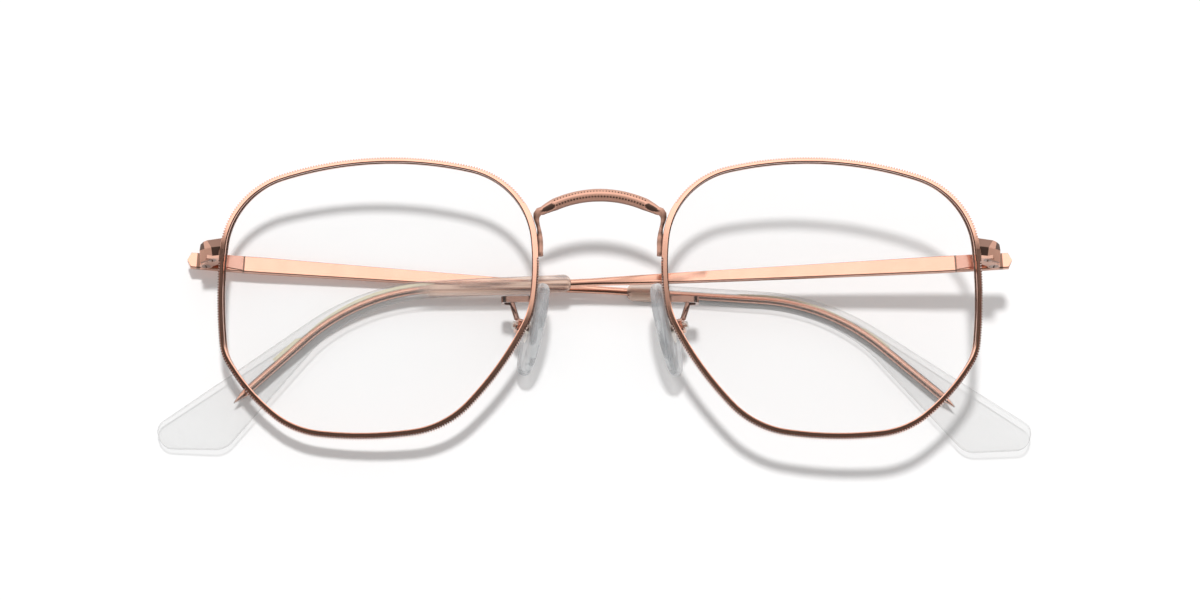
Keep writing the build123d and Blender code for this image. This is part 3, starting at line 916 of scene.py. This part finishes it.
bridgeValues = {
    "archTop": 17.06,
    "archEnd": (9.4, 14.46),
    "tubeDepth": 0.85,
    "archSteps": 60,
    "ring": 32,
    # distance from the middle: half height, half depth
    "tube": [(0.0, 1.05, 1.05), (7.4, 1.0, 1.0), (8.4, 0.86, 0.9), (9.4, 0.7, 0.8)],
    # height, distance across, half width, half depth, painted shade
    "leg": [
        (14.30, 9.98, 0.68, 0.75, 0.35),
        (13.85, 10.30, 0.62, 0.70, 0.55),
        (13.30, 10.40, 0.50, 0.62, 0.75),
        (12.70, 10.30, 0.40, 0.55, 0.50),
        (12.10, 10.15, 0.32, 0.50, 0.80),
        (11.40, 9.97, 0.32, 0.50, 0.45),
        (10.70, 9.88, 0.40, 0.55, 0.80),
        (10.00, 9.83, 0.48, 0.60, 0.35),
        (9.20, 9.78, 0.50, 0.62, 0.65),
        (8.40, 9.76, 0.48, 0.62, 0.30),
        (7.60, 9.74, 0.46, 0.62, 0.35),
        (6.95, 9.72, 0.46, 0.62, 0.60),
    ],
    # angle from the front to the brow, painted shade standing for the tube's reflection
    "shade": [
        (-180, 0.8),
        (-85, 0.85),
        (-65, 0.6),
        (-45, 0.3),
        (-12, 0.35),
        (4, 0.3),
        (9, 0.0),
        (16, 0.0),
        (22, 0.25),
        (50, 0.45),
        (90, 0.5),
        (180, 0.8),
    ],
    # middle across, half length, middle angle, half width in degrees
    "leaf": (8.5, 1.35, -14.0, 46.0),
    # how far the leaf's own painted shade reaches along, then its dark heart and pale border, a painted
    # reflection of a leaf-shaped flat
    "leafReach": 1.12,
    "leafHeart": (0.78, 1.0),
    "leafBorder": (1.0, 0.05),
    # strength and turns of the shade round a leg
    "legShade": (0.15, 3),
}


def archCircle():
    # Radius of the arch, and the height of its centre
    endAcross, endHeight = bridgeValues["archEnd"]
    rise = bridgeValues["archTop"] - endHeight
    radius = (endAcross**2 + rise**2) / (2 * rise)
    return radius, bridgeValues["archTop"] - radius


def bridgeStations():
    # (place, half width, half depth, painted shade or none) from the middle to the foot
    values = bridgeValues
    radius, centre = archCircle()
    stations = []
    for step in range(values["archSteps"] + 1):
        across = values["archEnd"][0] * step / values["archSteps"]
        height, depth = mixStations(values["tube"], across)
        stations.append((Vector((across, centre + math.sqrt(radius**2 - across**2))), height, depth, None))
    for high, across, height, depth, dark in values["leg"]:
        stations.append((Vector((across, high)), height, depth, dark))
    return stations


def bridgeShade(across, lift, dark):
    # Painted shade: the tube's reflection by the angle round it, the leaf-shaped flats, and stripes round
    # the legs
    values = bridgeValues
    if dark is not None:
        strength, turns = values["legShade"]
        return min(1.0, dark + strength * math.sin(math.radians(turns * lift)))
    middle, half, angle, width = values["leaf"]
    along = (abs(across) - middle) / half
    if abs(along) < values["leafReach"]:
        spread = math.hypot(along, (lift - angle) / width)
        heart, heartShade = values["leafHeart"]
        border, borderShade = values["leafBorder"]
        if spread < heart:
            return heartShade
        if spread < border:
            return borderShade
    return mixStations(values["shade"], lift)[0]


def makeBridge():
    values = bridgeValues
    half = bridgeStations()
    mirrored = [(Vector((-place.x, place.y)), *rest) for place, *rest in reversed(half[1:])]
    stations = mirrored + half
    points = []
    paintedShade = []
    for index, (place, height, depth, dark) in enumerate(stations):
        before = stations[max(index - 1, 0)][0]
        after = stations[min(index + 1, len(stations) - 1)][0]
        along = (after - before).normalized()
        outward = Vector((-along.y, along.x, 0.0))
        for step in range(values["ring"]):
            lift = 360 * step / values["ring"] - 180
            angle = math.radians(lift)
            skin = outward * (math.sin(angle) * height) + Vector((0.0, 0.0, math.cos(angle) * depth))
            points.append(Vector((place.x, place.y, -values["tubeDepth"])) + skin)
            paintedShade.append(bridgeShade(place.x, lift, dark))
    mesh = frontMesh("bridgeDressed", points, ringFaces(len(stations), values["ring"]))
    addPaintedShade(mesh, paintedShade, bridgeBronze)
    for polygon in mesh.polygons:
        polygon.use_smooth = len(polygon.vertices) == 4
    dressNode("bridgeDressed", mesh, "front", "bridge")


makeBridge()

endPieceValues = {
    # distance across, height, behind the lens plane
    "points": {
        "rimTop": (60.9, 10.15, 1.3),
        "top": (64.2, 9.65, 1.3),
        "stripeTop": (64.8, 9.4, 1.4),
        "corner": (65.3, 9.0, 1.7),
        "ridgeLeft": (65.35, 7.85, 0.9),
        "stripeLow": (64.5, 8.05, 0.55),
        "ridgeMiddle": (63.4, 8.3, 0.3),
        "ridgeRim": (61.5, 8.5, 0.3),
        "lowRim": (61.5, 6.8, 1.0),
        "lowMiddle": (63.2, 6.55, 1.0),
        "lowLeft": (65.3, 6.0, 1.5),
    },
    # each facet with its painted shade, standing for the reflection the facet shows
    "facets": [
        (("rimTop", "top", "ridgeMiddle", "ridgeRim"), 0.80),
        (("top", "stripeTop", "stripeLow", "ridgeMiddle"), 0.45),
        (("stripeTop", "corner", "ridgeLeft", "stripeLow"), 1.0),
        (("ridgeLeft", "lowLeft", "lowMiddle", "ridgeMiddle", "stripeLow"), 0.05),
        (("ridgeMiddle", "lowMiddle", "lowRim", "ridgeRim"), 1.0),
    ],
    "border": (
        "rimTop",
        "top",
        "stripeTop",
        "corner",
        "ridgeLeft",
        "lowLeft",
        "lowMiddle",
        "lowRim",
        "ridgeRim",
    ),
    "depth": 2.6,
    "wallShade": 0.6,
    "edgeWidth": 0.06,
    "edgeSegments": 2,
    "edgeAngle": 12,
}


def makeEndPiece(side):
    values = endPieceValues
    names = list(values["points"])
    points = []
    for across, high, back in values["points"].values():
        points.append(Vector((sides[side] * across, high, -back)))
    faces = [tuple(names.index(corner) for corner in corners) for corners, _ in values["facets"]]
    paintedShade = [dark for _, dark in values["facets"]]
    border = [names.index(corner) for corner in values["border"]]
    first = len(points)
    points += [Vector((points[index].x, points[index].y, -values["depth"])) for index in border]
    for step, index in enumerate(border):
        following = (step + 1) % len(border)
        faces.append((index, border[following], first + following, first + step))
    faces.append(tuple(range(first, len(points))))
    paintedShade += [values["wallShade"]] * (len(faces) - len(paintedShade))
    name = "endPieceDressed_" + side
    mesh = frontMesh(name, points, faces)
    addPaintedShade(mesh, paintedShade, bridgeBronze, "FACE")
    piece = dressNode(name, mesh, "front", "endpiece_" + side)
    edge = piece.modifiers.new("edge", "BEVEL")
    edge.width = values["edgeWidth"] * millimetre
    edge.segments = values["edgeSegments"]
    edge.limit_method = "ANGLE"
    edge.angle_limit = math.radians(values["edgeAngle"])


for side in sides:
    makeEndPiece(side)
print("end pieces made")

beadValues = {
    "tubeRadius": 1.05,
    "halfWidth": 7.2,
    "pitch": 0.5,
    "points": 60,
    # angle from the front to the brow, radius, share of it sunk in the tube
    "rows": {"upper": (31.0, 0.13, 0.55), "lower": (-22.0, 0.18, 0.45)},
}


def archPoint(across, lift, proud):
    # A point of the tube's skin, lifted by an angle from the front to the brow
    radius, centreHeight = archCircle()
    centre = Vector((0.0, centreHeight, 0.0))
    outward = Vector((across, math.sqrt(radius**2 - across**2), 0.0)) / radius
    angle = math.radians(lift)
    reach = beadValues["tubeRadius"] + proud
    skin = outward * (math.sin(angle) * reach) + Vector((0.0, 0.0, math.cos(angle) * reach))
    return centre + outward * radius + skin - Vector((0.0, 0.0, bridgeValues["tubeDepth"]))


def makeBead(name, radius):
    shell = bmesh.new()
    bmesh.ops.create_icosphere(shell, subdivisions=2, radius=radius * millimetre)
    mesh = bpy.data.meshes.new(name)
    shell.to_mesh(mesh)
    shell.free()
    for polygon in mesh.polygons:
        polygon.use_smooth = True
    return linkObject(name, mesh)


def beadRow(name, lift, radius, sink):
    values = beadValues
    half = values["halfWidth"]
    row = []
    for step in range(values["points"] + 1):
        across = half * (2 * step / values["points"] - 1)
        row.append(archPoint(across, lift, -radius * sink))
    bead = makeBead(name + "Item", radius)
    # The beads are near black: painted shade of the engraved dots.
    repeatAlong(name, [row], bead, values["pitch"], darkBronze, "front")
    bpy.data.objects.remove(bead)


for rowName, row in beadValues["rows"].items():
    beadRow("beadRow_" + rowName, *row)
print("bead rows made")


# Floor, light and camera

floorValues = {
    "size": 3.0,
    "colour": (0.93, 0.93, 0.93),
    "speckle": (0.92, 0.92, 0.92),
    "speckleScale": 12.0,
    "roughness": 0.9,
    "specular": 0.1,
}


def makeFloor():
    half = floorValues["size"] / 2
    points = [(-half, -half, 0), (half, -half, 0), (half, half, 0), (-half, half, 0)]
    floor = linkObject("floor", meshFrom("floor", points, [(0, 1, 2, 3)]))
    material, tree, shader, place = startMaterial("paleFloor")
    cloud = addNoise(tree, place, floorValues["speckleScale"])
    colour = addRamp(tree, cloud, [(0.3, floorValues["speckle"]), (0.7, floorValues["colour"])])
    tree.links.new(colour, shader.inputs["Base Color"])
    shader.inputs["Roughness"].default_value = floorValues["roughness"]
    shader.inputs["Specular IOR Level"].default_value = floorValues["specular"]
    floor.data.materials.append(material)


makeFloor()

skyValues = {
    "ambient": 0.51,
    "camera": 1.0,
    "strength": 1.5,
    "browEdges": (-0.20, 0.10),
    "sideFall": 0.45,
    "tones": [
        (0.12, (0.058,) * 3),
        (0.24, (0.34,) * 3),
        (0.40, (0.50,) * 3),
        (0.47, (0.72,) * 3),
        (0.56, (0.95,) * 3),
        (0.75, (1.0,) * 3),
    ],
}


def makeSky():
    values = skyValues
    world = bpy.data.worlds.new("studio")
    bpy.context.scene.world = world
    world.use_nodes = True
    tree = world.node_tree
    direction = tree.nodes.new("ShaderNodeTexCoord")
    parts = tree.nodes.new("ShaderNodeSeparateXYZ")
    tree.links.new(direction.outputs["Generated"], parts.inputs["Vector"])
    side = tree.nodes.new("ShaderNodeMath")
    side.operation = "ABSOLUTE"
    tree.links.new(parts.outputs["X"], side.inputs[0])
    height = tree.nodes.new("ShaderNodeMath")
    height.operation = "MULTIPLY_ADD"
    tree.links.new(side.outputs["Value"], height.inputs[0])
    height.inputs[1].default_value = -values["sideFall"]
    tree.links.new(parts.outputs["Y"], height.inputs[2])
    brow = addRange(tree, height.outputs["Value"], 0.0, 1.0, values["browEdges"])
    tones = addRamp(tree, brow, values["tones"])
    path = tree.nodes.new("ShaderNodeLightPath")
    even = (values["ambient"] / values["strength"],) * 3
    colour = mixColours(tree, path.outputs["Is Diffuse Ray"], tones, even)
    plain = (values["camera"] / values["strength"],) * 3
    colour = mixColours(tree, path.outputs["Is Camera Ray"], colour, plain)
    background = tree.nodes["Background"]
    background.inputs["Strength"].default_value = values["strength"]
    tree.links.new(colour, background.inputs["Color"])


makeSky()

keyValues = {
    "size": 0.36,
    "power": 55.0,
    "distance": 3.0,
    "fromLensNormal": 25.0,
}


def makeKey():
    values = keyValues
    data = bpy.data.lights.new("keyLight", "AREA")
    data.shape = "DISK"
    data.size = values["size"]
    data.energy = values["power"]
    light = bpy.data.objects.new("keyLight", data)
    light.visible_glossy = False
    light.visible_transmission = False
    bpy.context.scene.collection.objects.link(light)
    angle = math.radians(values["fromLensNormal"])
    towards = frontTurn.to_3x3() @ Vector((0.0, math.sin(angle), math.cos(angle)))
    light.location = towards * values["distance"]
    light.rotation_mode = "QUATERNION"
    light.rotation_quaternion = (-towards).to_track_quat("-Z", "Y")


makeKey()

cameraValues = {
    "distance": 650.0,
    "fromLensNormal": 10.0,
    "pixelsPerMillimetre": 6.15,
    "imageWidth": 1200,
    "imageHeight": 600,
    "frontRow": 297,
    "sensor": 36.0,
    "nearest": 0.01,
}


def makeCamera():
    values = cameraValues
    angle = math.radians(values["fromLensNormal"])
    turn = frontTurn.to_3x3()
    across = turn @ Vector((1.0, 0.0, 0.0))
    back = turn @ Vector((0.0, -math.sin(angle), math.cos(angle)))
    up = back.cross(across)
    target = frontMatrix @ Vector((0.0, 0.0, 0.0))
    rows = values["imageHeight"] / 2 - values["frontRow"]
    target -= up * (rows / values["pixelsPerMillimetre"] * millimetre)
    data = bpy.data.cameras.new("camera")
    data.sensor_width = values["sensor"]
    width = values["imageWidth"] / values["pixelsPerMillimetre"]
    data.lens = values["sensor"] * values["distance"] / width
    data.clip_start = values["nearest"]
    camera = bpy.data.objects.new("camera", data)
    bpy.context.scene.collection.objects.link(camera)
    location = target + back * (values["distance"] * millimetre)
    turnMatrix = Matrix((across, up, back)).transposed().to_4x4()
    camera.matrix_world = Matrix.Translation(location) @ turnMatrix
    bpy.context.scene.camera = camera


makeCamera()
bpy.context.scene.view_settings.view_transform = "Standard"
print("stage, light and camera made")
